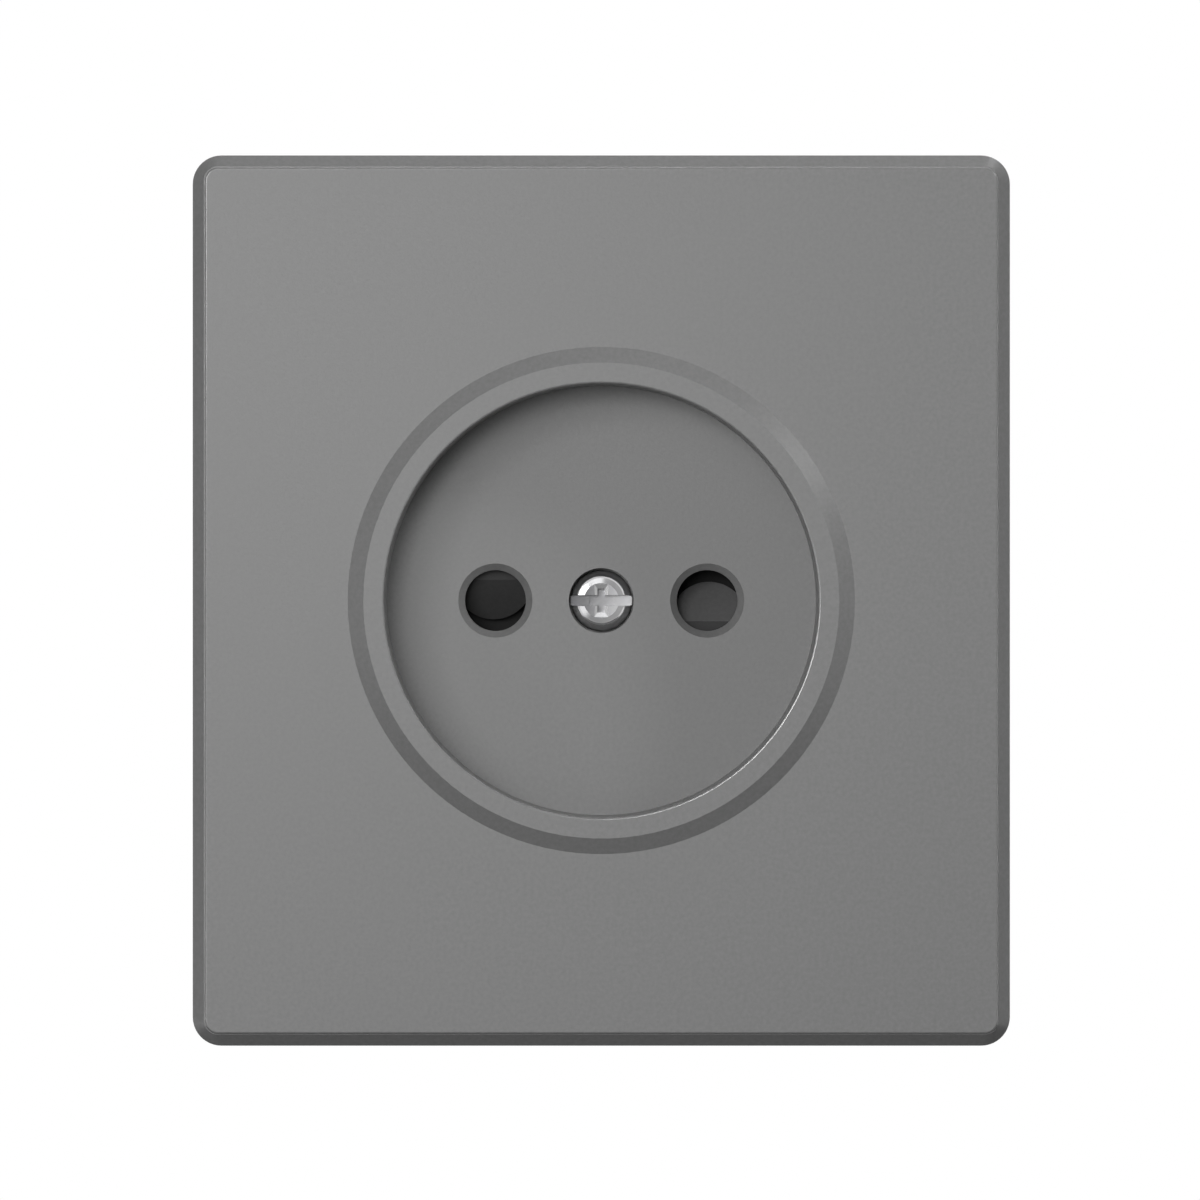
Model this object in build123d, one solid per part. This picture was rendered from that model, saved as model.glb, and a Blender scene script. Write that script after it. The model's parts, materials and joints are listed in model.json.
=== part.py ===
from build123d import *
from math import acos, atan2, cos, degrees, hypot, radians, sin
import os

# Ungrounded two-pole wall socket for a flush box, with its own centre plate.
# Sizes are in millimetres. X points right, Z points up and the front looks toward -Y.
# The wall surface is the plane y = 0, and the axis of the socket is the Y axis.

# Centre plate: outline, bevel, face panel and skirt
plate_width = 72.6
plate_height = 79.1
plate_corner_radius = 2.55
plate_stand_off = 10.2
bevel_width = 1.02
bevel_depth = 1.1
bevel_corner_radius = 1.25
ledge_width = 0.08
panel_rise = 0.45
panel_corner_radius = 1.2
panel_edge_radius = 0.2
face_thickness = 2.0
skirt_thickness = 1.8
skirt_inner_radius = 1.0
rib_thickness = 1.2
rib_depth = 3.6
rib_offset = 10.0

# Plug recess with the raised ring around its mouth
recess_diameter = 38.5
recess_depth = 12.0
recess_mouth_radius = 0.2
recess_wall = 1.9
recess_floor = 2.0
ring_height = 0.8
ring_land_width = 1.85
ring_slope_width = 1.4

# Plug pins and the holes that take them
pin_pitch = 19.0
pin_length = 19.0
pin_hole_diameter = 5.48
pin_lead_in = 0.59

# Central screw of the plate, and the boss that it passes through
plate_screw_head_diameter = 5.5
plate_screw_head_height = 2.0
plate_screw_top_diameter = 3.16
plate_screw_top_dish = 0.03
plate_screw_cone_slope = 0.15
plate_screw_edge_radius = 0.84
plate_screw_diameter = 2.9
plate_screw_length = 15.1
plate_screw_slot_width = 1.0
plate_screw_slot_floor_width = 0.8
plate_screw_slot_depth = 1.0
plate_screw_cross_width = 0.7
plate_screw_cross_length = 2.16
plate_screw_cross_depth = 1.3
plate_screw_flare_side = 0.28
plate_screw_flare_end = 0.4
plate_screw_flare_depth = 0.07
plate_screw_sink = 2.9
plate_screw_head_clearance = 0.17
screw_hole_clearance = 0.2
boss_diameter = 9.0
boss_length = 3.0

# Rotating shutter behind the pin holes
shutter_travel = 44.0
shutter_bearing_clearance = 0.08
shutter_end_gap = 0.2
shutter_back_gap = 0.4
shutter_rim_gap = 0.5
wing_cover = 0.96
wing_edge_cover = 0.66
wing_flat_width = 1.74
wing_ridge_offset = 1.86
wing_ramp_slope = 0.75
wing_edge_thickness = 0.76
wing_nose_reach = 3.55
wing_nose_aside = 0.2
hub_wall = 0.2

# Torsion spring of the shutter
spring_wire_diameter = 0.5
spring_gap = 0.4
spring_half_turns = 3
spring_front_gap = 0.1
spring_turn_gap = 0.05
spring_leg_length = 9.0
spring_leg_contact_x = 9.0
spring_rest_gap = 0.02
spring_post_diameter = 1.6
spring_post_inset = 1.5

# Cap that holds the shutter and the spring
cap_wall = 1.3
cap_bottom = 1.35
cap_pin_clearance = 0.16
cap_post_gap = 0.15
cap_ear_radius = 2.8
cap_ear_thickness = 1.3
cap_boss_radius = 2.0
cap_boss_length = 2.5
cap_boss_gap = 0.4
stop_depth = 1.6
stop_width = 1.8
stop_gap = 0.15
cap_screw_diameter = 1.8
cap_screw_length = 4.2
cap_screw_head_diameter = 3.8
cap_screw_head_height = 1.4

# Slots and edges of the small screws and of the large ones
small_slot_width = 0.6
small_slot_depth = 0.6
small_head_edge = 0.5
large_slot_width = 0.9
large_slot_depth = 1.0
large_head_edge = 0.6
thread_clearance = 0.05
blind_hole_extra = 0.6
screw_tip_chamfer = 0.4

# Locating pegs between the plate and the base
peg_diameter = 1.6
peg_length = 1.2
peg_clearance = 0.1
peg_rim_inset = 0.15
peg_angle = 45.0

# Insulating base
seat_clearance = 0.35
seat_wall = 1.4
flank_step = 2.4
flank_slope_start = 5.0
flank_slope_end = 12.0
base_rim_wall = 3.3
base_edge_chamfer = 0.8
cap_pocket_clearance = 0.3
cap_pocket_floor_gap = 0.25
ear_pocket_clearance = 0.5
pin_end_gap = 1.5
chamber_clearance = 0.4
chamber_side_clearance = 0.6

# Threaded bush for the plate screw
bush_diameter = 7.0
bush_length = 7.0
bush_flange_diameter = 8.6
bush_flange_thickness = 1.0
bush_front_wall = 1.1
bush_clearance = 0.05

# Contact forks, terminal bars and their rivets
contact_thickness = 0.7
contact_width = 6.0
contact_grip = 3.9
contact_grip_depth = 3.6
contact_mouth = 7.0
contact_heel = 6.4
contact_mouth_gap = 0.7
contact_bend_radius = 0.4
bar_thickness = 0.8
bar_bend_radius = 1.2
bar_foot = 3.6
terminal_height = 14.3
terminal_tab_length = 11.0
terminal_screw_inset = 7.0
niche_side = 1.5
niche_front_gap = 0.5
rivet_diameter = 2.0
rivet_head_diameter = 3.2
rivet_head_height = 0.7
rivet_clearance = 0.05

# Wire clamps and terminal screws
clamp_width = 6.6
clamp_thickness = 1.2
clamp_corner_radius = 0.8
clamp_hole_clearance = 0.15
terminal_screw_diameter = 3.5
terminal_screw_length = 4.2
terminal_screw_head_diameter = 6.0
terminal_screw_head_height = 2.2

# Back cover
cover_thickness = 3.0
cover_chamfer = 0.8
cover_screw_height = 19.0
cover_screw_diameter = 2.4
cover_screw_length = 9.0
cover_screw_head_diameter = 5.0
cover_screw_head_height = 1.6
cover_screw_head_clearance = 0.3

# Steel support ring
support_thickness = 1.0
support_side_gap = 0.6
support_end_gap = 2.75
support_corner_radius = 9.0
support_opening_gap = 0.85
support_lip_height = 3.4
support_lip_reach = 1.9
support_lip_length = 44.0
support_bend_radius = 1.4
box_screw_pitch = 60.0
box_slot_width = 3.8
box_slot_length = 6.0
box_screw_notch_radius = 3.4
ring_screw_diameter = 2.4
ring_screw_length = 7.0
ring_screw_head_diameter = 4.2
ring_screw_head_height = 1.4
ring_screw_edge_gap = 0.1

# Spreading claws and their screws
claw_screw_offset = 2.3
claw_screw_diameter = 2.9
claw_screw_length = 22.0
claw_screw_head_diameter = 6.0
claw_screw_head_height = 2.2
claw_head_gap = 0.03
claw_hole_clearance = 0.15
claw_slot_clearance = 0.35
claw_slot_travel = 1.4
claw_thickness = 1.2
claw_width = 9.0
claw_bend_radius = 1.6
claw_flank_gap = 0.6
claw_tongue_start = 11.0
claw_plate_depth = 18.7
claw_plate_reach = 2.8
claw_leg_depth = 23.5
claw_leg_lean = 0.5
claw_tooth_depth = 1.4
claw_teeth = 3

# Tools that cut reach past the faces that they open by this much
overshoot = 0.5

# Depths along Y, from the front to the back
face_y = -plate_stand_off
ledge_y = face_y + panel_rise
bevel_back_y = ledge_y + bevel_depth
face_back_y = face_y + face_thickness
ring_top_y = face_y - ring_height
floor_y = ring_top_y + recess_depth
floor_back_y = floor_y + recess_floor
screw_seat_y = floor_y + plate_screw_sink
boss_back_y = floor_back_y + boss_length
shutter_front_y = floor_back_y + shutter_end_gap

# Radii that follow from the recess, and the half pitch of the pins
recess_radius = recess_diameter / 2
cup_radius = recess_radius + recess_wall
pin_x = pin_pitch / 2
pin_hole_radius = pin_hole_diameter / 2
boss_radius = boss_diameter / 2
screw_passage_radius = plate_screw_diameter / 2 + screw_hole_clearance

# Shutter and spring, worked outward from the boss
wire_radius = spring_wire_diameter / 2
cap_post_radius = boss_radius + spring_gap
coil_radius = cap_post_radius + spring_gap + wire_radius
coil_bay_radius = coil_radius + wire_radius + spring_gap
hub_radius = coil_bay_radius + hub_wall
wing_radius = pin_x + pin_hole_radius + wing_cover
wing_top = pin_hole_radius + wing_edge_cover
wing_bottom = wing_ridge_offset + wing_flat_width
wing_edge_y = shutter_front_y + wing_ramp_slope * (wing_ridge_offset + wing_top)
shutter_back_y = wing_edge_y + wing_edge_thickness
spring_contact_z = -wing_bottom - wire_radius - spring_rest_gap
spring_contact_radius = hypot(spring_leg_contact_x, spring_contact_z)
spring_contact_angle = degrees(atan2(spring_contact_z, spring_leg_contact_x))
free_leg_angle = spring_contact_angle - degrees(acos(coil_radius / spring_contact_radius))
held_leg_angle = free_leg_angle - 180 * spring_half_turns

# Cap and its screws
cap_floor_y = shutter_back_y + shutter_back_gap
cap_back_y = cap_floor_y + cap_bottom
cap_inner_radius = wing_radius + shutter_rim_gap
cap_radius = cap_inner_radius + cap_wall
cap_screw_z = cap_radius + cap_boss_gap + cap_boss_radius
cap_boss_back_y = floor_back_y + cap_boss_length
cap_ear_back_y = cap_boss_back_y + cap_ear_thickness

# Base, bush and contacts
seat_radius = cup_radius + seat_clearance
cap_pocket_radius = cap_radius + cap_pocket_clearance
cap_pocket_y = cap_back_y + cap_pocket_floor_gap
bush_front_y = cap_pocket_y + bush_front_wall
bush_shoulder_y = bush_front_y + bush_length - bush_flange_thickness
contact_web_y = floor_y + pin_length + pin_end_gap
bar_front_y = contact_web_y + contact_thickness
base_back_y = bar_front_y + bar_thickness
cover_back_y = base_back_y + cover_thickness
chamber_half_width = contact_width / 2 + chamber_side_clearance
chamber_half_height = contact_mouth / 2 + contact_thickness + chamber_clearance
terminal_y = base_back_y - terminal_screw_inset
tab_front_y = base_back_y - terminal_tab_length
niche_floor_z = terminal_height - bar_thickness
niche_half_width = contact_width / 2 + niche_side

# Support ring, its screws and the outline of the base
support_front_y = -support_thickness
lip_x = plate_width / 2 - skirt_thickness - support_side_gap
support_width = 2 * (lip_x - support_lip_reach)
support_height = plate_height - 2 * (skirt_thickness + support_end_gap)
support_opening_radius = cup_radius + support_opening_gap
ring_screw_radius = support_opening_radius + ring_screw_head_diameter / 2 + ring_screw_edge_gap
base_radius = ring_screw_radius + base_rim_wall
flank_front_x = seat_radius + seat_wall
flank_back_x = flank_front_x - flank_step
claw_screw_x = flank_front_x + claw_screw_offset
claw_seat_y = support_front_y - claw_head_gap


def slab(sketch, front, back):
    """Solid with a front-view outline, from depth front to depth back."""
    return extrude(Plane.XZ.offset(-back) * sketch, amount=back - front)


def disc(radius, front, back, x=0.0, z=0.0):
    """Round solid along Y."""
    return slab(Pos(x, z) * Circle(radius), front, back)


def block(x_range, y_range, z_range):
    """Box between three pairs of limits."""
    ranges = (x_range, y_range, z_range)
    middle = [(low + high) / 2 for low, high in ranges]
    size = [high - low for low, high in ranges]
    return Pos(*middle) * Box(*size)


def turned(profile):
    """Solid turned about the Y axis from points of (radius, depth)."""
    return revolve(Polygon(*profile, align=None), axis=Axis.Y)


def half_turn(shape):
    """The same shape turned by half a turn about the axis of the socket."""
    return Rot(0, 180, 0) * shape


def mirrored(shape):
    """The same shape on the other side, left for right."""
    return mirror(shape, about=Plane.YZ)


def around_edge(shape, depth, radius):
    """Round edges of one radius about the Y axis that lie at one depth."""
    rings = shape.edges().filter_by(GeomType.CIRCLE)
    level = rings.filter_by_position(Axis.Y, depth - 0.001, depth + 0.001)
    return [edge for edge in level if abs(edge.radius - radius) < 0.001]


def bent_strip(points, bend_radius, thickness, side):
    """Outline of a bent sheet: an edge with rounded bends, and the parallel edge on one side of it."""
    edge = FilletPolyline(*points, radius=bend_radius)
    return make_face(offset(edge, amount=thickness, side=side))


def screw_stem(shank):
    """Shank of a screw along Y from y = 0, with a chamfered tip; it is (diameter, length)."""
    diameter, length = shank
    stem = disc(diameter / 2, 0, length)
    return chamfer(around_edge(stem, length, diameter / 2), screw_tip_chamfer)


def screw_blank(head, shank):
    """Screw along Y without its slot, with the underside of its head at y = 0; both are (diameter, length)."""
    head_diameter, head_height = head
    return disc(head_diameter / 2, -head_height, 0) + screw_stem(shank)


def head_edge_of(blank, head):
    """Outer edge on the top of the head of a screw."""
    head_diameter, head_height = head
    return around_edge(blank, -head_height, head_diameter / 2)


def slot_cutter(head, width, depth):
    """Cutter for the straight slot across the head of a screw."""
    head_diameter, head_height = head
    depth_range = (-head_height - overshoot, depth - head_height)
    return block((-head_diameter, head_diameter), depth_range, (-width / 2, width / 2))


def small_screw(head, shank):
    """Slotted screw of the small kind."""
    blank = screw_blank(head, shank)
    blank = chamfer(head_edge_of(blank, head), small_head_edge)
    return blank - slot_cutter(head, small_slot_width, small_slot_depth)


def large_screw(head, shank):
    """Slotted screw of the large kind."""
    blank = screw_blank(head, shank)
    blank = chamfer(head_edge_of(blank, head), large_head_edge)
    return blank - slot_cutter(head, large_slot_width, large_slot_depth)


def make_plate_shell():
    """Bevelled rim with the stepped face panel, hollow behind."""
    outline = RectangleRounded(plate_width, plate_height, plate_corner_radius)
    skirt = slab(outline, bevel_back_y, 0)
    cut = 2 * bevel_width
    ledge_outline = RectangleRounded(plate_width - cut, plate_height - cut, bevel_corner_radius)
    foot = Plane.XZ.offset(-bevel_back_y) * outline
    crest = Plane.XZ.offset(-ledge_y) * ledge_outline
    bevel = loft([foot, crest], ruled=True)
    inset = cut + 2 * ledge_width
    panel_outline = RectangleRounded(plate_width - inset, plate_height - inset, panel_corner_radius)
    panel = slab(panel_outline, face_y, bevel_back_y)
    panel = fillet(panel.faces().sort_by(Axis.Y)[0].edges(), panel_edge_radius)
    hollow = 2 * skirt_thickness
    cavity_outline = RectangleRounded(plate_width - hollow, plate_height - hollow, skirt_inner_radius)
    cavity = slab(cavity_outline, face_back_y, overshoot)
    return skirt + bevel + panel - cavity


def make_plate_ribs():
    """Stiffening ribs from the cup of the recess to the skirt, in pairs on all four sides."""
    depth = (face_back_y, face_back_y + rib_depth)
    half = rib_thickness / 2
    start = recess_radius
    ribs = []
    for place in (-rib_offset, rib_offset):
        across = (place - half, place + half)
        for way in (-1, 1):
            side = plate_width / 2 - skirt_thickness / 2
            end = plate_height / 2 - skirt_thickness / 2
            ribs.append(block(sorted((way * start, way * side)), depth, across))
            ribs.append(block(across, depth, sorted((way * start, way * end))))
    return ribs


def make_collar():
    """Raised ring and the cup of the plug recess, with a rounded mouth."""
    top_radius = recess_radius + ring_land_width
    base_radius_of_ring = top_radius + ring_slope_width
    profile = [
        (0, ring_top_y),
        (top_radius, ring_top_y),
        (base_radius_of_ring, face_y),
        (base_radius_of_ring, face_back_y),
        (cup_radius, face_back_y),
        (cup_radius, floor_back_y),
        (0, floor_back_y),
    ]
    collar = turned(profile) - disc(recess_radius, ring_top_y - overshoot, floor_y)
    return fillet(around_edge(collar, ring_top_y, recess_radius), recess_mouth_radius)


def make_pin_hole(x):
    """Cutter for one pin hole with its sunken lead-in."""
    widest = pin_hole_radius + pin_lead_in + overshoot
    profile = [
        (0, floor_y - overshoot),
        (widest, floor_y - overshoot),
        (pin_hole_radius, floor_y + pin_lead_in),
        (pin_hole_radius, floor_back_y + overshoot),
        (0, floor_back_y + overshoot),
    ]
    return Pos(x, 0, 0) * turned(profile)


def peg_places():
    """Centres of the two locating pegs, on the rim of the cup."""
    reach = cup_radius - peg_diameter / 2 - peg_rim_inset
    x = reach * cos(radians(peg_angle))
    z = reach * sin(radians(peg_angle))
    return [(x, z), (-x, -z)]


def make_centre_plate():
    plate = make_plate_shell()
    for rib in make_plate_ribs():
        plate += rib
    plate -= disc(recess_radius + recess_wall / 2, ring_top_y, face_back_y + rib_depth)
    plate += make_collar()
    plate += disc(boss_radius, floor_back_y, boss_back_y)
    for z in (-cap_screw_z, cap_screw_z):
        plate += disc(cap_boss_radius, floor_back_y, cap_boss_back_y, 0, z)
        pilot_radius = cap_screw_diameter / 2 + thread_clearance
        pilot_front = cap_ear_back_y - cap_screw_length - thread_clearance
        plate -= disc(pilot_radius, pilot_front, cap_boss_back_y + overshoot, 0, z)
    for x, z in peg_places():
        plate += disc(peg_diameter / 2, floor_back_y, floor_back_y + peg_length, x, z)
    for x in (-pin_x, pin_x):
        plate -= make_pin_hole(x)
    head_radius = plate_screw_head_diameter / 2 + plate_screw_head_clearance
    plate -= disc(head_radius, floor_y - overshoot, screw_seat_y)
    plate -= disc(screw_passage_radius, floor_y, boss_back_y + overshoot)
    return plate


def make_plate_screw_head():
    """Turned head: a slightly dished top, a shallow cone around it and a rounded edge."""
    top = -plate_screw_head_height
    top_radius = plate_screw_top_diameter / 2
    head_radius = plate_screw_head_diameter / 2
    rim = top + plate_screw_cone_slope * (head_radius - top_radius)
    profile = [
        (0, top + plate_screw_top_dish),
        (top_radius, top),
        (head_radius, rim),
        (head_radius, 0),
        (0, 0),
    ]
    head = turned(profile)
    return fillet(around_edge(head, rim, head_radius), plate_screw_edge_radius)


def make_plate_screw_slot():
    """Cutter for the full slot, narrower at its floor."""
    top = -plate_screw_head_height
    floor = top + plate_screw_slot_depth
    wide_half = plate_screw_slot_width / 2
    floor_half = plate_screw_slot_floor_width / 2
    profile = [(top, -wide_half), (floor, -floor_half), (floor, floor_half), (top, wide_half)]
    return extrude(Plane.YZ * Polygon(*profile, align=None), amount=plate_screw_head_diameter, both=True)


def make_plate_screw_cross():
    """Cutter for the arms across the slot and along it, with a shallow flare around the first."""
    top = -plate_screw_head_height
    half_width = plate_screw_cross_width / 2
    half_length = plate_screw_cross_length / 2
    depth = (top - overshoot, top + plate_screw_cross_depth)
    cross = block((-half_width, half_width), depth, (-half_length, half_length))
    cross += block((-half_length, half_length), depth, (-half_width, half_width))
    mouth_width = plate_screw_cross_width + 2 * plate_screw_flare_side
    mouth_length = plate_screw_cross_length + 2 * plate_screw_flare_end
    mouth = Plane.XZ.offset(-top) * Rectangle(mouth_width, mouth_length)
    neck_plane = Plane.XZ.offset(-top - plate_screw_flare_depth)
    neck = neck_plane * Rectangle(plate_screw_cross_width, plate_screw_cross_length)
    return cross + loft([mouth, neck])


def make_plate_screw():
    """Screw whose full slot is crossed by a short arm for a cross driver."""
    body = make_plate_screw_head() + screw_stem((plate_screw_diameter, plate_screw_length))
    body -= make_plate_screw_slot()
    body -= make_plate_screw_cross()
    return Pos(0, screw_seat_y, 0) * body


def make_shutter():
    """Rotor with a hub on the boss and two wings that cover the pin holes.

    Each wing has a flat, then a ramp with a round nose that stands on the wing's thin edge.
    """
    profile = [
        (shutter_front_y, -wing_bottom),
        (shutter_front_y, -wing_ridge_offset),
        (wing_edge_y, wing_top),
        (shutter_back_y, wing_top),
        (shutter_back_y, -wing_bottom),
    ]
    wing = extrude(Plane.YZ * Polygon(*profile, align=None), amount=wing_radius, dir=(1, 0, 0))
    wing = wing & disc(wing_radius, shutter_front_y, shutter_back_y)
    ramp_y = (shutter_front_y - overshoot, wing_edge_y)
    beside_nose = block((0, wing_radius + overshoot), ramp_y, (-wing_ridge_offset, wing_top + overshoot))
    beside_nose -= disc(wing_nose_reach, *ramp_y, pin_x + wing_nose_aside, -wing_ridge_offset)
    wing -= beside_nose
    rotor = wing + half_turn(wing) + disc(hub_radius, shutter_front_y, boss_back_y)
    bearing_radius = boss_radius + shutter_bearing_clearance
    rotor -= disc(bearing_radius, shutter_front_y - overshoot, boss_back_y + overshoot)
    return rotor - disc(coil_bay_radius, boss_back_y, shutter_back_y + overshoot)


def on_circle(radius, angle, y):
    """Point at an angle about the axis of the socket, counted from +X toward +Z."""
    turn = radians(angle)
    return Vector(radius * cos(turn), y, radius * sin(turn))


def held_leg_point(along, aside, y):
    """Point beside the held leg of the spring, which leaves the coil along its tangent."""
    root = on_circle(coil_radius, held_leg_angle, y)
    outward = on_circle(along, held_leg_angle - 90, 0)
    inward = on_circle(aside, held_leg_angle - 180, 0)
    return root + outward + inward


def make_shutter_spring():
    """Torsion spring: a leg held by the cap, a coil about its post, and a leg under the right wing.

    Each half turn of the coil is an arc that climbs by half the pitch and meets the next one tangentially.
    """
    rise = (spring_wire_diameter + spring_turn_gap) / 2
    front_y = boss_back_y + spring_front_gap + wire_radius
    back_y = front_y + spring_half_turns * rise
    held_end = held_leg_point(spring_leg_length, 0, front_y)
    path = [Line(held_end, on_circle(coil_radius, held_leg_angle, front_y))]
    for half in range(spring_half_turns):
        angle = held_leg_angle + 180 * half
        y = front_y + rise * half
        begin = on_circle(coil_radius, angle, y)
        middle = on_circle(hypot(coil_radius, rise / 2), angle + 90, y + rise / 2)
        finish = on_circle(coil_radius, angle + 180, y + rise)
        path.append(ThreePointArc(begin, middle, finish))
    free_end = Vector(spring_leg_contact_x, back_y, spring_contact_z)
    path.append(Line(on_circle(coil_radius, free_leg_angle, back_y), free_end))
    section = Plane(held_end, z_dir=path[0] % 0) * Circle(wire_radius)
    return sweep(section, path=Wire(path))


def make_stop(rest):
    """Block on the wall of the cap that ends the travel of the right wing."""
    x_range = (cap_inner_radius - stop_depth - shutter_rim_gap, cap_inner_radius)
    if rest:
        low = wing_top + stop_gap
        return block(x_range, (shutter_front_y, cap_back_y), (low, low + stop_width))
    high = -wing_bottom - stop_gap
    stop = block(x_range, (shutter_front_y, cap_back_y), (high - stop_width, high))
    return Rot(0, shutter_travel, 0) * stop


def ear_outline(radius, inner):
    """Outline of both ears of the cap, from inside its wall to past the screws."""
    half_length = cap_screw_z - inner
    outline = Sketch()
    for way in (-1, 1):
        outline += Pos(0, way * cap_screw_z) * Circle(radius)
        outline += Pos(0, way * (inner + half_length / 2)) * Rectangle(2 * radius, half_length)
    return outline


def make_shutter_cap():
    cap = disc(cap_radius, floor_back_y, cap_back_y)
    cap -= disc(cap_inner_radius, floor_back_y - overshoot, cap_floor_y)
    cap += disc(cap_post_radius, boss_back_y + cap_post_gap, cap_back_y)
    for rest in (True, False):
        stop = make_stop(rest) & disc(cap_radius, floor_back_y, cap_back_y)
        cap += stop
        cap += half_turn(stop)
    cap += slab(ear_outline(cap_ear_radius, cap_inner_radius + cap_wall / 2), cap_boss_back_y, cap_ear_back_y)
    post_radius = spring_post_diameter / 2
    post_aside = wire_radius + spring_rest_gap + post_radius
    post = held_leg_point(spring_leg_length - spring_post_inset, post_aside, 0)
    cap += disc(post_radius, boss_back_y, cap_back_y, post.X, post.Z)
    for x in (-pin_x, pin_x):
        cap -= disc(pin_hole_radius + cap_pin_clearance, shutter_back_y, cap_back_y + overshoot, x)
    for z in (-cap_screw_z, cap_screw_z):
        ear_hole_radius = cap_screw_diameter / 2 + screw_hole_clearance
        cap -= disc(ear_hole_radius, cap_boss_back_y - overshoot, cap_ear_back_y + overshoot, 0, z)
    return cap - disc(screw_passage_radius, boss_back_y, cap_back_y + overshoot)


def make_shutter_cap_screws():
    """Two screws from behind, through the ears of the cap into the plate."""
    head = (cap_screw_head_diameter, cap_screw_head_height)
    shank = (cap_screw_diameter, cap_screw_length)
    one = Rot(0, 0, 180) * small_screw(head, shank)
    return [Pos(0, cap_ear_back_y, z) * one for z in (-cap_screw_z, cap_screw_z)]


def ring_screw_places():
    """Centres of the four screws between the ring and the base, on the diagonals."""
    return [on_circle(ring_screw_radius, angle, 0) for angle in (45, 135, 225, 315)]


def make_base_body(front, back):
    """Round body with sloping flats for the claws and notches for the box screws."""
    half_profile = [
        (flank_front_x, front),
        (flank_front_x, flank_slope_start),
        (flank_back_x, flank_slope_end),
        (flank_back_x, back),
    ]
    other_half = [(-x, y) for x, y in reversed(half_profile)]
    flats = extrude(Polygon(*half_profile, *other_half, align=None), amount=2 * base_radius, both=True)
    body = disc(base_radius, front, back) & flats
    for z in (-box_screw_pitch / 2, box_screw_pitch / 2):
        body -= disc(box_screw_notch_radius, front - overshoot, back + overshoot, 0, z)
    return body


def niche_cutter(front, back):
    """Space above both terminals, open at the top."""
    x_range = (pin_x - niche_half_width, pin_x + niche_half_width)
    niche = block(x_range, (front, back), (niche_floor_z, base_radius + overshoot))
    return niche + mirrored(niche)


def make_contact_room():
    """Cutter for one contact chamber, the groove for its bar and the hole under the terminal screw."""
    x_range = (pin_x - chamber_half_width, pin_x + chamber_half_width)
    y_range = (cap_pocket_y - overshoot, base_back_y + overshoot)
    room = block(x_range, y_range, (-chamber_half_height, chamber_half_height))
    bar_half = contact_width / 2 + chamber_clearance
    bar_range = (-bar_foot - chamber_clearance, niche_floor_z + overshoot)
    bar_width = (pin_x - bar_half, pin_x + bar_half)
    room += block(bar_width, (bar_front_y, base_back_y + overshoot), bar_range)
    bend_relief = bar_bend_radius - bar_thickness
    relief_range = (niche_floor_z - bend_relief, niche_floor_z + overshoot)
    room += block(bar_width, (bar_front_y - bend_relief, base_back_y + overshoot), relief_range)
    reach = terminal_screw_length - clamp_thickness - bar_thickness + blind_hole_extra
    hole = Cylinder(terminal_screw_diameter / 2 + screw_hole_clearance, reach + overshoot)
    return room + Pos(pin_x, terminal_y, niche_floor_z - reach / 2 + overshoot / 2) * hole


def make_socket_base():
    base = make_base_body(0, base_back_y)
    base = chamfer(base.faces().sort_by(Axis.Y)[-1].edges(), base_edge_chamfer)
    base -= disc(seat_radius, -overshoot, floor_back_y)
    base -= disc(cap_pocket_radius, 0, cap_pocket_y)
    ears = ear_outline(cap_ear_radius + ear_pocket_clearance, cap_radius - cap_wall)
    ear_pocket_y = cap_ear_back_y + cap_screw_head_height + cap_pocket_floor_gap
    base -= slab(ears, 0, ear_pocket_y)
    for x, z in peg_places():
        peg_hole_radius = peg_diameter / 2 + peg_clearance
        base -= disc(peg_hole_radius, 0, floor_back_y + peg_length + peg_clearance, x, z)
    base -= disc(screw_passage_radius, 0, base_back_y)
    base -= disc(bush_diameter / 2 + bush_clearance, bush_front_y, base_back_y)
    flange_radius = bush_flange_diameter / 2 + bush_clearance
    base -= disc(flange_radius, bush_shoulder_y, base_back_y + overshoot)
    room = make_contact_room()
    base -= room
    base -= mirrored(room)
    base -= niche_cutter(tab_front_y - niche_front_gap, base_back_y + overshoot)
    for place in ring_screw_places():
        pilot_radius = ring_screw_diameter / 2 + thread_clearance
        pilot_back = ring_screw_length - support_thickness + blind_hole_extra
        base -= disc(pilot_radius, -overshoot, pilot_back, place.X, place.Z)
    for z in (-cover_screw_height, cover_screw_height):
        pilot_radius = cover_screw_diameter / 2 + thread_clearance
        pilot_front = cover_back_y - cover_screw_head_height - cover_screw_length - blind_hole_extra
        base -= disc(pilot_radius, pilot_front, base_back_y + overshoot, 0, z)
    return base


def make_screw_bush():
    """Flanged brass bush, pulled forward against its shoulder by the plate screw."""
    bore = plate_screw_diameter / 2 + thread_clearance
    back = bush_front_y + bush_length
    profile = [
        (bore, bush_front_y),
        (bush_diameter / 2, bush_front_y),
        (bush_diameter / 2, bush_shoulder_y),
        (bush_flange_diameter / 2, bush_shoulder_y),
        (bush_flange_diameter / 2, back),
        (bore, back),
    ]
    return turned(profile)


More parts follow.
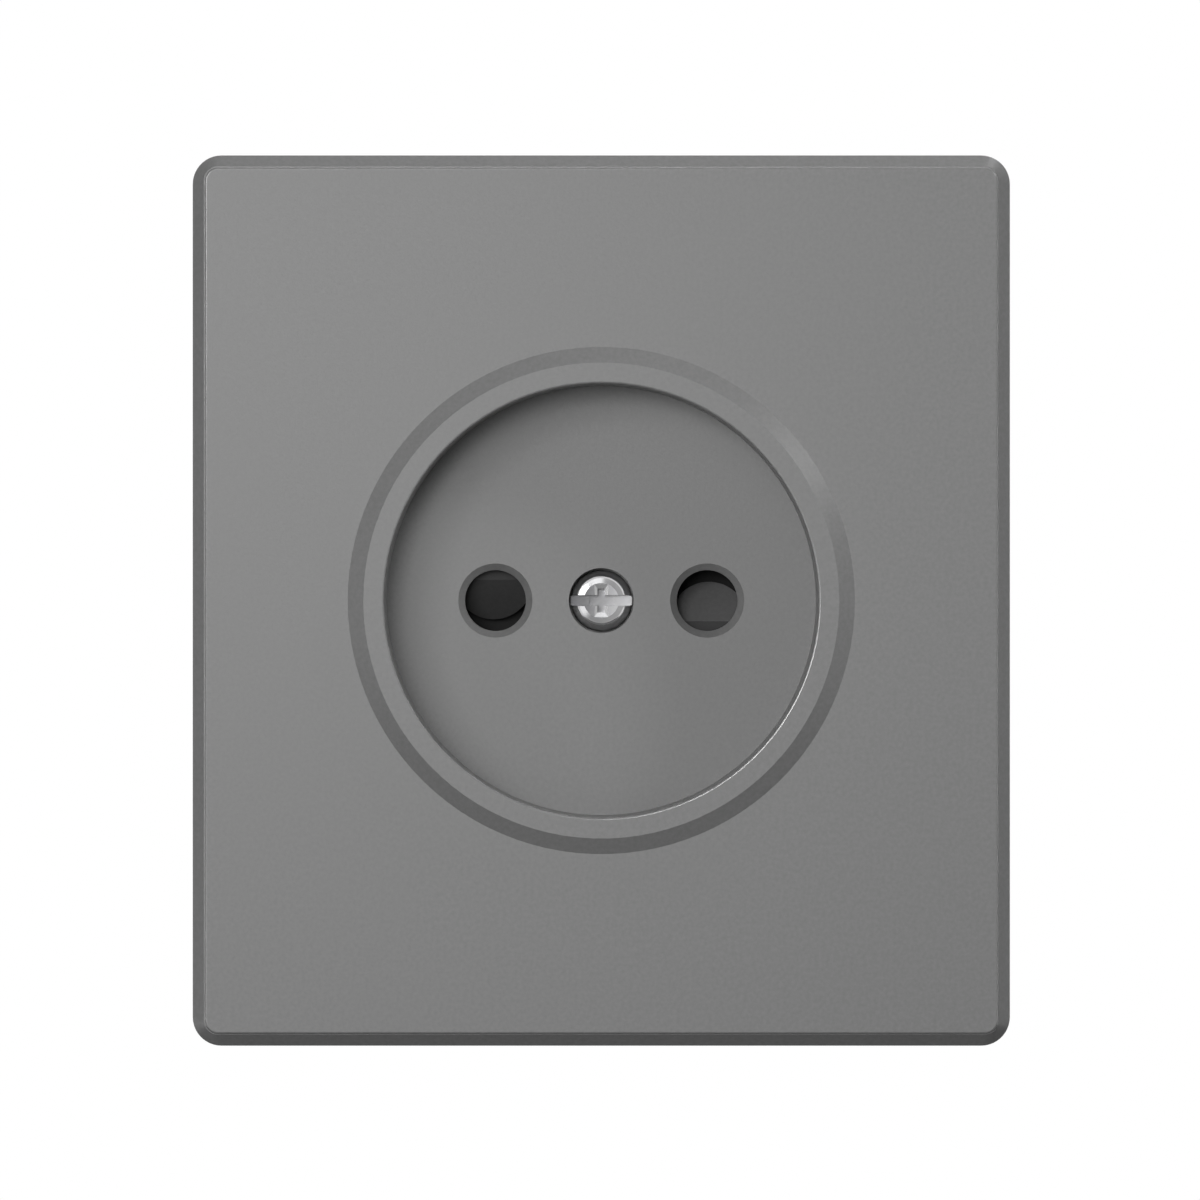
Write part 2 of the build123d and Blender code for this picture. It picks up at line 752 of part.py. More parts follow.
def make_back_cover():
    cover = make_base_body(base_back_y, cover_back_y)
    cover = chamfer(cover.faces().sort_by(Axis.Y)[-1].edges(), cover_chamfer)
    cover -= niche_cutter(base_back_y - overshoot, cover_back_y + overshoot)
    for x in (-pin_x, pin_x):
        relief_radius = rivet_head_diameter / 2 + screw_hole_clearance
        relief_back = base_back_y + rivet_head_height + screw_hole_clearance
        cover -= disc(relief_radius, base_back_y - overshoot, relief_back, x)
    seat_y = cover_back_y - cover_screw_head_height
    for z in (-cover_screw_height, cover_screw_height):
        hole_radius = cover_screw_diameter / 2 + screw_hole_clearance
        head_radius = cover_screw_head_diameter / 2 + cover_screw_head_clearance
        cover -= disc(hole_radius, base_back_y - overshoot, cover_back_y, 0, z)
        cover -= disc(head_radius, seat_y, cover_back_y + overshoot, 0, z)
    return cover


def make_back_cover_screws():
    """Two screws from behind, sunk in the cover."""
    head = (cover_screw_head_diameter, cover_screw_head_height)
    shank = (cover_screw_diameter, cover_screw_length)
    one = Rot(0, 0, 180) * small_screw(head, shank)
    seat_y = cover_back_y - cover_screw_head_height
    return [Pos(0, seat_y, z) * one for z in (-cover_screw_height, cover_screw_height)]


def make_support_ring():
    """Sheet steel ring with slots for the box screws and folded lips on both sides."""
    outline = RectangleRounded(support_width, support_height, support_corner_radius)
    outline -= Circle(support_opening_radius)
    for z in (-box_screw_pitch / 2, box_screw_pitch / 2):
        outline -= Pos(0, z) * SlotOverall(box_slot_length, box_slot_width, rotation=90)
    claw_slot_width = claw_screw_diameter + 2 * claw_slot_clearance
    for x in (-claw_screw_x, claw_screw_x):
        outline -= Pos(x, 0) * SlotOverall(claw_slot_width + claw_slot_travel, claw_slot_width)
    for place in ring_screw_places():
        outline -= Pos(place.X, place.Z) * Circle(ring_screw_diameter / 2 + screw_hole_clearance)
    ring = slab(outline, support_front_y, 0)
    route = [(lip_x - 2 * support_lip_reach, 0), (lip_x, 0), (lip_x, -support_lip_height)]
    section = bent_strip(route, support_bend_radius, support_thickness, Side.RIGHT)
    lip = extrude(section, amount=support_lip_length / 2, both=True)
    return ring + lip + mirrored(lip)


def make_ring_screws():
    """Four screws through the ring into the base."""
    head = (ring_screw_head_diameter, ring_screw_head_height)
    shank = (ring_screw_diameter, ring_screw_length)
    one = small_screw(head, shank)
    return [Pos(place.X, support_front_y, place.Z) * one for place in ring_screw_places()]


def make_contact():
    """Right-hand fork: a bent strip whose leaves grip the pin and flare at the mouth."""
    mouth_y = cap_pocket_y + contact_mouth_gap
    grip_y = cap_pocket_y + contact_grip_depth
    upper = [
        (mouth_y, contact_mouth / 2),
        (grip_y, contact_grip / 2),
        (contact_web_y, contact_heel / 2),
    ]
    lower = [(y, -z) for y, z in reversed(upper)]
    outline = bent_strip(upper + lower, contact_bend_radius, contact_thickness, Side.LEFT)
    strip = extrude(Plane.YZ * outline, amount=contact_width / 2, both=True)
    return Pos(pin_x, 0, 0) * strip - disc(rivet_diameter / 2 + rivet_clearance, contact_web_y, base_back_y, pin_x)


def make_terminal_bar():
    """Right-hand bar: up from the fork and folded forward under the clamp."""
    route = [(base_back_y, -bar_foot), (base_back_y, terminal_height), (tab_front_y, terminal_height)]
    outline = bent_strip(route, bar_bend_radius, bar_thickness, Side.LEFT)
    bar = Pos(pin_x, 0, 0) * extrude(Plane.YZ * outline, amount=contact_width / 2, both=True)
    bar -= disc(rivet_diameter / 2 + rivet_clearance, contact_web_y, base_back_y + overshoot, pin_x)
    hole = Cylinder(terminal_screw_diameter / 2 + thread_clearance, 4 * bar_thickness)
    return bar - Pos(pin_x, terminal_y, terminal_height) * hole


def make_contact_rivets():
    """One rivet through each fork and bar, with a head on both sides."""
    front = contact_web_y - rivet_head_height
    back = base_back_y + rivet_head_height
    rivet = disc(rivet_diameter / 2, front, back, pin_x)
    rivet += disc(rivet_head_diameter / 2, front, contact_web_y, pin_x)
    rivet += disc(rivet_head_diameter / 2, base_back_y, back, pin_x)
    return [rivet, mirrored(rivet)]


def make_terminal_clamp():
    """Right-hand clamping plate on the tab of the bar."""
    outline = RectangleRounded(clamp_width, clamp_width, clamp_corner_radius)
    outline -= Circle(terminal_screw_diameter / 2 + clamp_hole_clearance)
    return Pos(pin_x, terminal_y, terminal_height) * extrude(outline, amount=clamp_thickness)


def make_terminal_screw():
    """Right-hand terminal screw, upright, with its head on the clamp."""
    head = (terminal_screw_head_diameter, terminal_screw_head_height)
    shank = (terminal_screw_diameter, terminal_screw_length)
    one = large_screw(head, shank)
    return Pos(pin_x, terminal_y, terminal_height + clamp_thickness) * Rot(-90, 0, 0) * one


def make_claw():
    """Right-hand claw: a tongue along the flank, a plate on the screw and a toothed leg."""
    tongue_x = flank_back_x + claw_flank_gap
    leg_x = claw_screw_x + claw_plate_reach
    route = [
        (tongue_x, claw_tongue_start),
        (tongue_x, claw_plate_depth),
        (leg_x, claw_plate_depth),
        (leg_x + claw_leg_lean, claw_leg_depth),
    ]
    outline = bent_strip(route, claw_bend_radius, claw_thickness, Side.RIGHT)
    claw = extrude(outline, amount=claw_width / 2, both=True)
    hole_radius = claw_screw_diameter / 2 + claw_hole_clearance
    claw -= disc(hole_radius, claw_tongue_start, claw_plate_depth + overshoot, claw_screw_x)
    tooth_width = claw_width / claw_teeth
    for gap in range(1, claw_teeth):
        middle = gap * tooth_width - claw_width / 2
        notch = [
            (claw_leg_depth - claw_tooth_depth, middle),
            (claw_leg_depth + claw_tooth_depth, middle - tooth_width),
            (claw_leg_depth + claw_tooth_depth, middle + tooth_width),
        ]
        cutter = extrude(Plane.YZ * Polygon(*notch, align=None), amount=4 * claw_thickness, both=True)
        claw -= Pos(leg_x, 0, 0) * cutter
    return claw


def make_claw_screw():
    """Right-hand claw screw, with its head on the front of the support ring."""
    head = (claw_screw_head_diameter, claw_screw_head_height)
    shank = (claw_screw_diameter, claw_screw_length)
    one = large_screw(head, shank)
    return Pos(claw_screw_x, claw_seat_y, 0) * one


def make_all():
    """Every piece by name; a list holds the copies of one fastener."""
    pieces = {
        "centre_plate": make_centre_plate(),
        "plate_screw": make_plate_screw(),
        "shutter": make_shutter(),
        "shutter_spring": make_shutter_spring(),
        "shutter_cap": make_shutter_cap(),
        "shutter_cap_screws": make_shutter_cap_screws(),
        "socket_base": make_socket_base(),
        "screw_bush": make_screw_bush(),
        "back_cover": make_back_cover(),
        "back_cover_screws": make_back_cover_screws(),
        "support_ring": make_support_ring(),
        "ring_screws": make_ring_screws(),
        "contact_rivets": make_contact_rivets(),
    }
    pairs = {
        "contact": make_contact(),
        "terminal_bar": make_terminal_bar(),
        "terminal_clamp": make_terminal_clamp(),
        "terminal_screw": make_terminal_screw(),
        "claw": make_claw(),
        "claw_screw": make_claw_screw(),
    }
    for name, right in pairs.items():
        pieces[f"{name}_right"] = right
        pieces[f"{name}_left"] = mirrored(right)
    return pieces


os.makedirs("parts", exist_ok=True)
for name, piece in make_all().items():
    shape = Compound(children=piece) if isinstance(piece, list) else piece
    export_step(shape, f"parts/{name}.step")
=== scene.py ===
import json
import math

import bmesh
import bpy
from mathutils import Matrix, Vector


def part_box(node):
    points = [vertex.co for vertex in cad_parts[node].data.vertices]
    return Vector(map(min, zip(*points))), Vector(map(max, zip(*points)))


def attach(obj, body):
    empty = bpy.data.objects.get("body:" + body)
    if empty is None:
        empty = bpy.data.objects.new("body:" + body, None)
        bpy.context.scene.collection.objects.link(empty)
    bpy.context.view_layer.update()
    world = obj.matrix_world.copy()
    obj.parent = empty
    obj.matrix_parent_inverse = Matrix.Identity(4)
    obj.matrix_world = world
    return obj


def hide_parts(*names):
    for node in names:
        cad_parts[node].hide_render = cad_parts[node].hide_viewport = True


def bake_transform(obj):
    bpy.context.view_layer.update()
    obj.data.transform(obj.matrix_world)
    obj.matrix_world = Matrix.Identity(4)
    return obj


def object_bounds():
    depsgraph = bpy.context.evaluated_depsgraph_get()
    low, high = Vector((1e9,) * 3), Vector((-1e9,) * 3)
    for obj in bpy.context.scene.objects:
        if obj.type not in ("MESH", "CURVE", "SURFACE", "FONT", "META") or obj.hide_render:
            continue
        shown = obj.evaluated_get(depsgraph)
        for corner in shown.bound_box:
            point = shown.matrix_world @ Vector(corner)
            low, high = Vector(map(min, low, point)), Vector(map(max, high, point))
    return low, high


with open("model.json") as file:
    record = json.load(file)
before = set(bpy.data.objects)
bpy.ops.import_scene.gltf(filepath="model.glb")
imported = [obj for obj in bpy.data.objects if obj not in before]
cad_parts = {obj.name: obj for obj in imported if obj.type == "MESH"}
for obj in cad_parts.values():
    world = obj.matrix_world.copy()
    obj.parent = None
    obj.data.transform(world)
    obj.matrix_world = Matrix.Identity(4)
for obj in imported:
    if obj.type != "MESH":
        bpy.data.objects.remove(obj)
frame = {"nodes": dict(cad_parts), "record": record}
cad_low, cad_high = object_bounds()
nodes = frame["nodes"]

# Lengths are in metres. The front of the socket looks toward -Y, and Z points up.
millimetre = 0.001

# Camera, straight in front of the plate
camera_distance = 1.0
camera_aside = -0.115 * millimetre
camera_raise = 0.05 * millimetre
view_width = 106.37 * millimetre
sensor_width_mm = 36.0

# Floor below the picture
floor_radius = 1.5
floor_corners = 128
floor_height = -0.60
floor_tones = (0.81, 0.82)
floor_glow = 0.72
floor_mirrored_share = 0.2

# Light of the surroundings
white = (1, 1, 1, 1)
ambient_tone = 0.02
background_tone = 1.0
background_mirrored_share = 1.0

# Lamps: angle from the front axis and turn about it in degrees (0 right, 90 up), distance,
# width of the square, angle of the beam in degrees, power in watts
lamps = {
    "key_lamp": (8, 140, 0.70, 0.13, 180, 0.95),
    "side_key_lamp": (22, 152, 0.70, 0.17, 180, 0.82),
    "upper_glint_lamp": (17, 103, 0.70, 0.13, 180, 0.13),
    "lower_glint_lamp": (17, 207, 0.70, 0.11, 180, 0.10),
    "left_lamp": (45, 180, 0.50, 0.20, 40, 0.010),
    "left_rim_lamp": (88, 202, 0.50, 0.12, 40, 0.010),
    "top_lamp": (85, 90, 0.50, 0.20, 40, 0.012),
    "upper_rim_lamp": (88, 63, 0.50, 0.13, 40, 0.035),
    "corner_lamp": (58, 35, 0.50, 0.10, 40, 0.025),
    "back_left_lamp": (140, 180, 0.50, 0.20, 40, 0.045),
    "back_right_lamp": (140, 0, 0.50, 0.20, 40, 0.045),
    "back_top_lamp": (140, 90, 0.50, 0.20, 40, 0.045),
}

# Most of a noise texture's values lie between these two
noise_low = 0.25
noise_high = 0.75

# Slants of the plate: distances from its axis, with the pin holes' lead-ins (painted light) inside the
# first and the rim's bevel (painted shade) outside the second, and stops of tilt and share
pin_hole_zone = 16 * millimetre
bevel_zone = 24 * millimetre
slant_tilts = ((0.55, 0), (0.62, 1), (0.80, 1), (0.87, 0))

# Polished rounds of the plate, as stops of tilt and share
round_tilts = ((0.05, 0), (0.09, 1), (0.43, 1), (0.47, 0))

# Zinc: places where the painted shade on the plate screw's flats is darkest and palest, and stops of tilt
# and share for the bright colour and for the smooth surface beside the flats
darkest_aside = -1.6 * millimetre
palest_aside = 2.4 * millimetre
bright_tilts = ((0.08, 0), (0.12, 0.2), (0.20, 0.2), (0.35, 1))
smooth_tilts = ((0.08, 0), (0.12, 1))

# Shutter: paler colour on its front, partly dusting and partly painted light, and painted light on its
# ramps, most on the ramp that looks up; depths behind the front where the paler colour fades, and of the
# dull edges before the back
front_dusting_and_light_share = 0.15
front_dusting_and_light_depths = (0.4 * millimetre, 0.1 * millimetre)
painted_light_rises = ((0.20, 0.37), (0.40, 0), (0.60, 0), (0.80, 1))
dull_edge_depths = (1.2 * millimetre, 0.9 * millimetre)

# Thread of the claw screws
thread_pitch = 0.5 * millimetre
thread_depth = 0.28 * millimetre
thread_neck = 1.2 * millimetre
thread_rows_per_turn = 8
thread_columns = 40

# Measuring a screw: digits that tell depths apart, share of the head's radius that only the head
# reaches, and margin behind the seat where the shank is cut away
depth_digits = 6
head_share = 0.9
seat_margin = 0.01 * millimetre


def make_camera():
    """Long-lens camera that frames the plate as the photograph does."""
    data = bpy.data.cameras.new("camera")
    data.sensor_width = sensor_width_mm
    data.lens = sensor_width_mm * camera_distance / view_width
    camera = bpy.data.objects.new("camera", data)
    camera.location = (camera_aside, cad_low.y - camera_distance, camera_raise)
    camera.rotation_euler = (math.pi / 2, 0, 0)
    bpy.context.scene.collection.objects.link(camera)
    bpy.context.scene.camera = camera


def lamp_place(off_axis, turn, distance):
    """Point at an angle from the front axis and a turn about it."""
    off = math.radians(off_axis)
    around = math.radians(turn)
    across = distance * math.sin(off)
    return Vector((across * math.cos(around), -distance * math.cos(off), across * math.sin(around)))


def make_lamp(name, place, width, beam, power):
    """Square lamp that faces the socket."""
    data = bpy.data.lights.new(name, "AREA")
    data.shape = "SQUARE"
    data.size = width
    data.spread = math.radians(beam)
    data.energy = power
    lamp = bpy.data.objects.new(name, data)
    lamp.location = place
    lamp.rotation_euler = (-place).to_track_quat("-Z", "Y").to_euler()
    lamp.visible_camera = False
    bpy.context.scene.collection.objects.link(lamp)


def feed(tree, node, inputs):
    """Give a node's inputs, by name or number, constants or the outputs of other nodes."""
    for key, value in inputs.items():
        if isinstance(value, bpy.types.NodeSocket):
            tree.links.new(value, node.inputs[key])
        else:
            node.inputs[key].default_value = value


def add_node(tree, kind, inputs, **settings):
    """New shader node with its settings and what its inputs get."""
    node = tree.nodes.new(f"ShaderNode{kind}")
    for name, value in settings.items():
        setattr(node, name, value)
    feed(tree, node, inputs)
    return node


def calculate(tree, operation, *values, clamp=False):
    """Output of a math node."""
    node = add_node(tree, "Math", dict(enumerate(values)), operation=operation, use_clamp=clamp)
    return node.outputs[0]


def seen_rays(tree, mirrored_share):
    """1 for rays from the eye, a share for rays that a piece mirrors or lets through, 0 for the rest."""
    path = add_node(tree, "LightPath", {})
    seen = path.outputs["Is Camera Ray"]
    for ray in ("Is Glossy Ray", "Is Transmission Ray"):
        seen = calculate(tree, "MULTIPLY_ADD", path.outputs[ray], mirrored_share, seen, clamp=True)
    return seen


def make_world():
    """White surroundings for the eye and for reflections, and a dim even light for the rest."""
    world = bpy.data.worlds.new("surroundings")
    world.use_nodes = True
    bpy.context.scene.world = world
    tree = world.node_tree
    tree.nodes.clear()
    ambient = add_node(tree, "Background", {"Color": white, "Strength": ambient_tone})
    background = add_node(tree, "Background", {"Color": white, "Strength": background_tone})
    seen = seen_rays(tree, background_mirrored_share)
    choose = add_node(tree, "MixShader", {0: seen, 1: ambient.outputs[0], 2: background.outputs[0]})
    add_node(tree, "OutputWorld", {"Surface": choose.outputs[0]})


def make_floor():
    """Pale round floor under the socket."""
    bpy.ops.mesh.primitive_circle_add(
        vertices=floor_corners, radius=floor_radius, fill_type="NGON", location=(0, 0, floor_height)
    )
    floor = bpy.context.object
    floor.name = "floor"
    floor.data.materials.append(floor_material())


class Finish:
    """A node material with a principled shader, and short ways to add textures to it."""

    def __init__(self, name):
        self.material = bpy.data.materials.new(name)
        self.material.use_nodes = True
        self.tree = self.material.node_tree
        self.shader = self.tree.nodes["Principled BSDF"]
        source = self.add("TexCoord", {})
        self.place = source.outputs["Object"]
        self.normal = source.outputs["Normal"]

    def add(self, kind, inputs, **settings):
        """New node of this material."""
        return add_node(self.tree, kind, inputs, **settings)

    def set(self, **values):
        """Inputs of the shader, by name with _ for a space, as constants or outputs of other nodes."""
        feed(self.tree, self.shader, {name.replace("_", " "): value for name, value in values.items()})

    def noise(self, grain, detail=2.0, stretch=(1, 1, 1)):
        """Noise from 0 to 1 with lumps of about one grain."""
        mapping = self.add("Mapping", {"Vector": self.place, "Scale": stretch})
        inputs = {"Vector": mapping.outputs[0], "Scale": 1 / grain, "Detail": detail}
        return self.add("TexNoise", inputs).outputs["Fac"]

    def ranged(self, source, start, end, low, high):
        """Number from low to high, as a source goes from start to end."""
        inputs = {"Value": source, "From Min": start, "From Max": end, "To Min": low, "To Max": high}
        return self.add("MapRange", inputs).outputs["Result"]

    def between(self, noise, low, high):
        """Number that a noise moves between two numbers."""
        return self.ranged(noise, noise_low, noise_high, low, high)

    def share(self, source, none, full, most=1.0):
        """0 up to one value, the most from another on, and straight between them."""
        return self.ranged(source, none, full, 0, most)

    def shades(self, noise, low, high):
        """Colour that a noise moves between two colours."""
        inputs = {"Factor": self.between(noise, 0, 1), "A": (*low, 1), "B": (*high, 1)}
        return self.add("Mix", inputs, data_type="RGBA").outputs["Result"]

    def blend(self, share, low, high):
        """Mix of two colours or of two numbers that vary themselves."""
        kind = "RGBA" if low.type == "RGBA" else "FLOAT"
        inputs = {"Factor": share, "A": low, "B": high}
        return self.add("Mix", inputs, data_type=kind).outputs["Result"]

    def along(self, source, axis):
        """Length of a vector along an axis."""
        return self.add("SeparateXYZ", {0: source}).outputs[axis]

    def across(self, source):
        """Length of a vector as seen from the front."""
        flat = self.add("VectorMath", {0: source, 1: (1, 0, 1)}, operation="MULTIPLY")
        length = self.add("VectorMath", {0: flat.outputs["Vector"]}, operation="LENGTH")
        return length.outputs["Value"]

    def tilt(self):
        """Sine of the angle between the piece's own surface and the plane of the wall."""
        return self.across(self.normal)

    def rise(self):
        """1 where the piece's own surface looks up, 0.5 where it is upright, 0 where it looks down."""
        return calculate(self.tree, "MULTIPLY_ADD", self.along(self.normal, "Z"), 0.5, 0.5)

    def steps(self, source, stops):
        """Share that runs straight between stops of value and share."""
        node = self.add("ValToRGB", {"Fac": source})
        elements = node.color_ramp.elements
        while len(elements) < len(stops):
            elements.new(0.5)
        for element, (value, share) in zip(elements, stops):
            element.position = value
            element.color = (*grey(share), 1)
        return node.outputs["Color"]

    def bump(self, source, height):
        """Relief of a 0 to 1 value, height in metres."""
        node = self.add("Bump", {"Height": source, "Distance": height})
        self.set(Normal=node.outputs["Normal"])


def grey(tone):
    """Colour without a hue."""
    return (tone, tone, tone)


def even_finish(name, grain, colours, roughness, relief, detail=2.0, fine_grain=None, stretch=(1, 1, 1)):
    """Finish whose colour and roughness follow one noise, with a relief from it or from a finer noise."""
    finish = Finish(name)
    cloud = finish.noise(grain, detail)
    finish.set(Base_Color=finish.shades(cloud, *colours), Roughness=finish.between(cloud, *roughness))
    finish.bump(finish.noise(fine_grain, stretch=stretch) if fine_grain else cloud, relief)
    return finish


def floor_material():
    """Pale paint that looks evenly lit and still takes shadows."""
    finish = even_finish(
        "floor_paint",
        grain=20 * millimetre,
        colours=[grey(tone) for tone in floor_tones],
        roughness=(0.80, 0.90),
        fine_grain=0.4 * millimetre,
        relief=0.01 * millimetre,
    )
    seen = seen_rays(finish.tree, floor_mirrored_share)
    finish.set(Emission_Color=white, Emission_Strength=calculate(finish.tree, "MULTIPLY", seen, floor_glow))
    return finish.material


def plate_material():
    """Matt grey plastic with a fine spark-eroded grain, polished on its rounds.

    The bevel around the rim has painted shade, a darker colour, and the lead-ins of the pin holes have
    painted light, a paler colour.
    """
    finish = Finish("plate_grey_finish")
    grain = finish.noise(0.35 * millimetre, detail=3)
    face = finish.shades(grain, grey(0.208), grey(0.250))
    # Painted shade on the rim's bevel and painted light on the pin holes' lead-ins
    bevel = finish.shades(grain, grey(0.176), grey(0.212))
    painted_light_lead_in = finish.shades(grain, grey(0.245), grey(0.295))
    outer = finish.share(finish.across(finish.place), pin_hole_zone, bevel_zone)
    slanted = finish.steps(finish.tilt(), slant_tilts)
    matt = finish.between(grain, 0.34, 0.40)
    polished = finish.between(grain, 0.14, 0.20)
    rounds = finish.steps(finish.tilt(), round_tilts)
    finish.set(
        Base_Color=finish.blend(slanted, face, finish.blend(outer, painted_light_lead_in, bevel)),
        Roughness=finish.blend(rounds, matt, polished),
        Specular_IOR_Level=0.42,
        Coat_Weight=rounds,
        Coat_Roughness=0.12,
    )
    finish.bump(grain, 0.006 * millimetre)
    return finish.material


def zinc_material():
    """Bright zinc plating with flats rough where a driver rubs, their colour painted shade that darkens to
    the left of the plate screw.
    """
    finish = Finish("bright_zinc_finish")
    cloud = finish.noise(0.8 * millimetre)
    # Painted shade on the screw's flats: darkest to the left, paler to the right
    dark = finish.shades(cloud, (0.065, 0.065, 0.068), (0.085, 0.085, 0.087))
    pale = finish.shades(cloud, (0.19, 0.19, 0.195), (0.23, 0.23, 0.23))
    aside = finish.share(finish.along(finish.place, "X"), darkest_aside, palest_aside)
    bright = finish.shades(cloud, (0.76, 0.76, 0.77), (0.84, 0.84, 0.84))
    lustre = finish.steps(finish.tilt(), bright_tilts)
    rubbed = finish.between(cloud, 0.36, 0.42)
    smooth = finish.between(cloud, 0.10, 0.16)
    slope = finish.steps(finish.tilt(), smooth_tilts)
    finish.set(
        Base_Color=finish.blend(lustre, finish.blend(aside, dark, pale), bright),
        Roughness=finish.blend(slope, rubbed, smooth),
        Metallic=1.0,
    )
    finish.bump(finish.noise(0.12 * millimetre), 0.0015 * millimetre)
    return finish.material


def black_material():
    """Black plastic of the shutter, paler with dusting and painted light on its front and ramps, most on
    the ramp that looks up.

    The thin edges at the back of the wings are clean and dull.
    """
    finish = Finish("shutter_black_finish")
    front, back = (corner.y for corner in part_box("shutter"))
    depth = finish.along(finish.place, "Y")
    grain = finish.noise(0.3 * millimetre)
    clean = finish.shades(grain, grey(0.022), grey(0.028))
    # Paler colour: dusting and painted light on the front, painted light on the ramps, most on the ramp
    # that looks up
    dusty_and_lit = finish.shades(grain, grey(0.145), grey(0.165))
    front_dusting_and_light = finish.share(depth, *(front + behind for behind in front_dusting_and_light_depths), most=front_dusting_and_light_share)
    ramps = finish.steps(finish.rise(), painted_light_rises)
    dust_and_painted_light = calculate(finish.tree, "MAXIMUM", ramps, front_dusting_and_light)
    satin = finish.between(grain, 0.50, 0.60)
    dull = finish.between(grain, 0.72, 0.78)
    deep = finish.share(depth, *(back - before for before in dull_edge_depths))
    finish.set(
        Base_Color=finish.blend(dust_and_painted_light, clean, dusty_and_lit),
        Roughness=finish.blend(deep, satin, dull),
        Specular_IOR_Level=0.2,
    )
    finish.bump(grain, 0.003 * millimetre)
    return finish.material


def spring_material():
    """Drawn spring wire with a dark oiled skin."""
    finish = even_finish(
        "spring_steel_finish",
        grain=0.5 * millimetre,
        colours=((0.26, 0.25, 0.24), (0.36, 0.35, 0.33)),
        roughness=(0.28, 0.40),
        fine_grain=0.1 * millimetre,
        relief=0.002 * millimetre,
    )
    finish.set(Metallic=1.0)
    return finish.material


def base_material():
    """Pale thermoset of the insulating base."""
    finish = even_finish(
        "base_plastic_finish",
        grain=0.5 * millimetre,
        detail=4,
        colours=((0.62, 0.60, 0.55), (0.68, 0.66, 0.61)),
        roughness=(0.42, 0.55),
        relief=0.006 * millimetre,
    )
    return finish.material


def cover_material():
    """Dark moulded back cover."""
    finish = even_finish(
        "cover_plastic_finish",
        grain=0.4 * millimetre,
        detail=4,
        colours=((0.035, 0.036, 0.040), (0.050, 0.051, 0.055)),
        roughness=(0.45, 0.60),
        relief=0.010 * millimetre,
    )
    return finish.material


def steel_material():
    """Galvanised sheet steel with spangle and rolling lines."""
    finish = even_finish(
        "galvanised_steel_finish",
        grain=2.5 * millimetre,
        detail=1,
        colours=((0.35, 0.36, 0.375), (0.39, 0.40, 0.41)),
        roughness=(0.36, 0.42),
        fine_grain=0.25 * millimetre,
        stretch=(0.1, 1, 1),
        relief=0.002 * millimetre,
    )
    finish.set(Metallic=1.0)
    return finish.material


def brass_material():
    """Stamped brass with a little tarnish."""
    finish = even_finish(
        "brass_finish",
        grain=1.5 * millimetre,
        colours=((0.52, 0.37, 0.14), (0.58, 0.42, 0.17)),
        roughness=(0.30, 0.36),
        fine_grain=0.2 * millimetre,
        stretch=(1, 0.1, 1),
        relief=0.002 * millimetre,
    )
    finish.set(Metallic=1.0)
    return finish.material


def dress_nodes():
    """Give every CAD node the finish of its material slot."""
    makers = {
        "plate_grey": plate_material,
        "bright_zinc": zinc_material,
        "shutter_black": black_material,
        "spring_steel": spring_material,
        "base_plastic": base_material,
        "cover_plastic": cover_material,
        "galvanised_steel": steel_material,
        "brass": brass_material,
    }
    finishes = {slot: make() for slot, make in makers.items()}
    for part in frame["record"]["subparts"]:
        node = nodes[part["node"]]
        node.material_slots[0].material = finishes[part["material_slot"]]
        even = node.modifiers.new("even_normals", "WEIGHTED_NORMAL")
        even.mode = "FACE_AREA"
        even.keep_sharp = True


def make_twisting_spring():
    """Shutter spring copied from its CAD node, which is hidden."""
    node = "shutter_spring"
    piece = bpy.data.objects.new(f"{node}_twisting", nodes[node].data.copy())
    bpy.context.scene.collection.objects.link(piece)
    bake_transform(piece)
    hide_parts(node)


def screw_measures(node):
    """Axis, depth of the seat, depth of the tip and shank radius of a screw that points along +Y."""
    low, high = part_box(node)
    axis = Vector(((low.x + high.x) / 2, 0, (low.z + high.z) / 2))
    reach = {}
    for vertex in nodes[node].data.vertices:
        depth = round(vertex.co.y, depth_digits)
        radius = math.hypot(vertex.co.x - axis.x, vertex.co.z - axis.z)
        reach[depth] = max(radius, reach.get(depth, 0))
    head_radius = (high.x - low.x) / 2
    seat = max(depth for depth, radius in reach.items() if radius > head_share * head_radius)
    shank_radius = max(radius for depth, radius in reach.items() if depth > (seat + high.y) / 2)
    return axis, seat, high.y, shank_radius


def thread_cut(along, turn):
    """Depth of a right-handed V thread at a length along it and a share of a turn from X toward Z."""
    phase = (along / thread_pitch + turn) % 1
    return thread_depth * abs(2 * phase - 1)


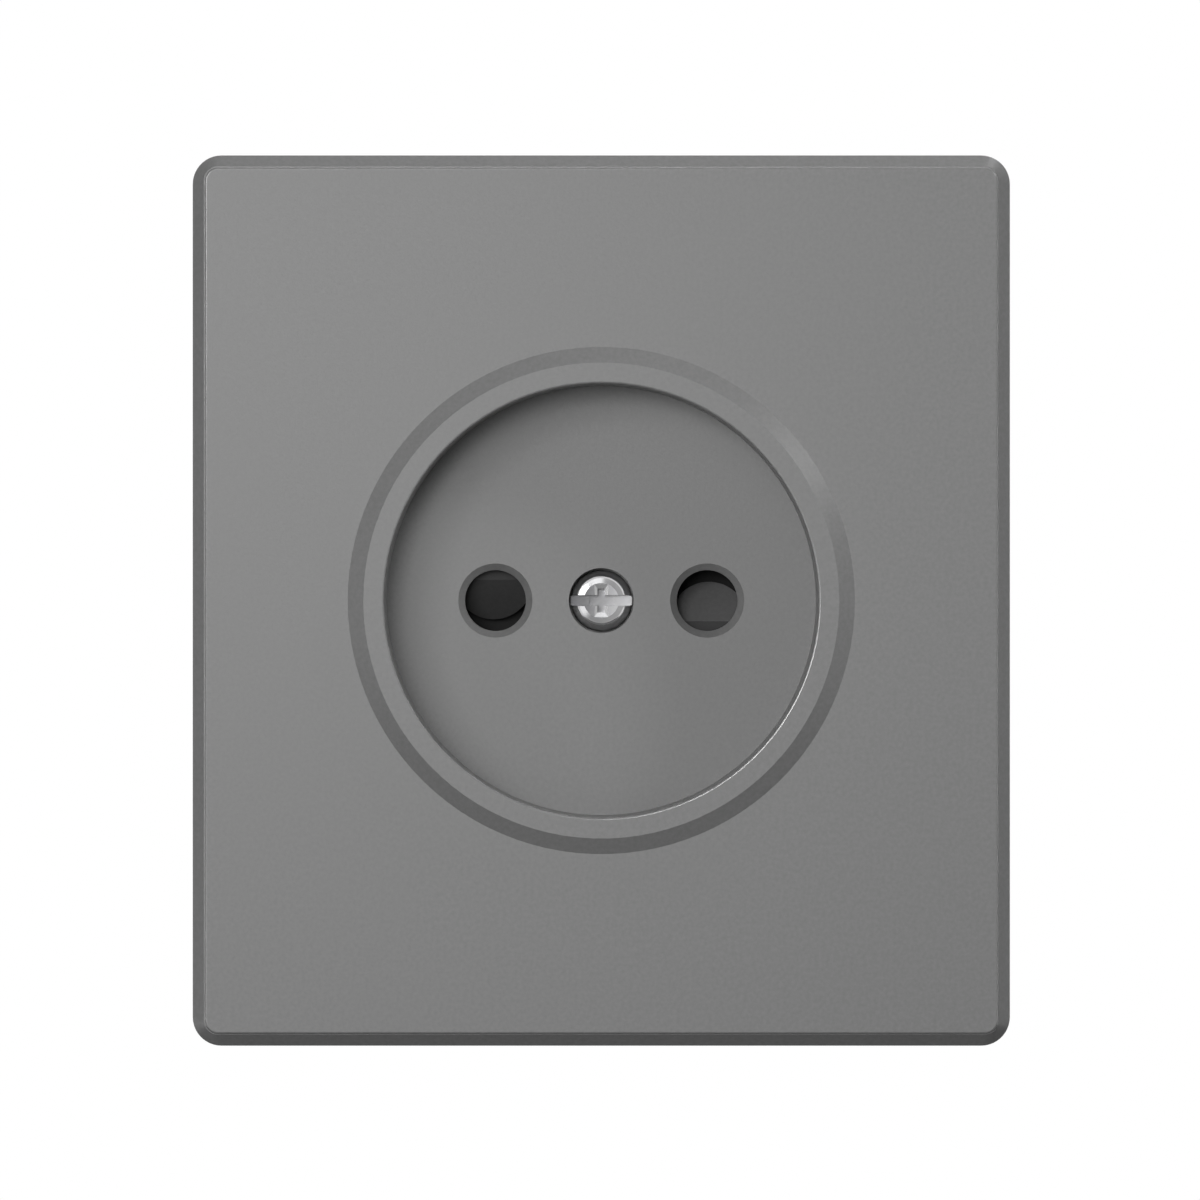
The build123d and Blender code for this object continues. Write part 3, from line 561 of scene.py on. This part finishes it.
def add_shank(mesh, axis, seat, tip, outer):
    """Shank with a plain neck, a thread and a bevelled tip, closed at both ends."""
    length = tip - seat
    rows = round(length / thread_pitch * thread_rows_per_turn)
    rings = []
    for row in range(rows + 1):
        along = length * row / rows
        fade = min(1, max(0, (along - thread_neck) / thread_pitch))
        point_in = max(0, along - length + thread_depth)
        ring = []
        for column in range(thread_columns):
            turn = column / thread_columns
            radius = outer - max(fade * thread_cut(along, turn), point_in)
            angle = 2 * math.pi * turn
            place = (axis.x + radius * math.cos(angle), seat + along, axis.z + radius * math.sin(angle))
            ring.append(mesh.verts.new(place))
        rings.append(ring)
    for ring, following in zip(rings, rings[1:]):
        for column in range(thread_columns):
            beside = (column + 1) % thread_columns
            face = mesh.faces.new((ring[column], following[column], following[beside], ring[beside]))
            face.smooth = True
    mesh.faces.new(rings[0])
    mesh.faces.new(list(reversed(rings[-1])))


def make_claw_thread(side):
    """Claw screw with the head of its solid and a threaded shank of the same size."""
    node = f"claw_screw_{side}"
    axis, seat, tip, outer = screw_measures(node)
    mesh = bmesh.new()
    mesh.from_mesh(nodes[node].data)
    shank = [face for face in mesh.faces if face.calc_center_median().y > seat + seat_margin]
    bmesh.ops.delete(mesh, geom=shank, context="FACES")
    bmesh.ops.holes_fill(mesh, edges=[edge for edge in mesh.edges if edge.is_boundary], sides=0)
    add_shank(mesh, axis, seat, tip, outer)
    bmesh.ops.recalc_face_normals(mesh, faces=mesh.faces)
    data = bpy.data.meshes.new(f"{node}_threaded")
    mesh.to_mesh(data)
    mesh.free()
    data.materials.append(nodes[node].material_slots[0].material)
    piece = bpy.data.objects.new(f"{node}_threaded", data)
    bpy.context.scene.collection.objects.link(piece)
    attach(piece, node)
    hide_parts(node)


bpy.context.scene.view_settings.view_transform = "Standard"
make_camera()
make_world()
make_floor()
for lamp_name, (off_axis, turn, distance, width, beam, power) in lamps.items():
    make_lamp(lamp_name, lamp_place(off_axis, turn, distance), width, beam, power)
dress_nodes()
make_twisting_spring()
for side in ("left", "right"):
    make_claw_thread(side)
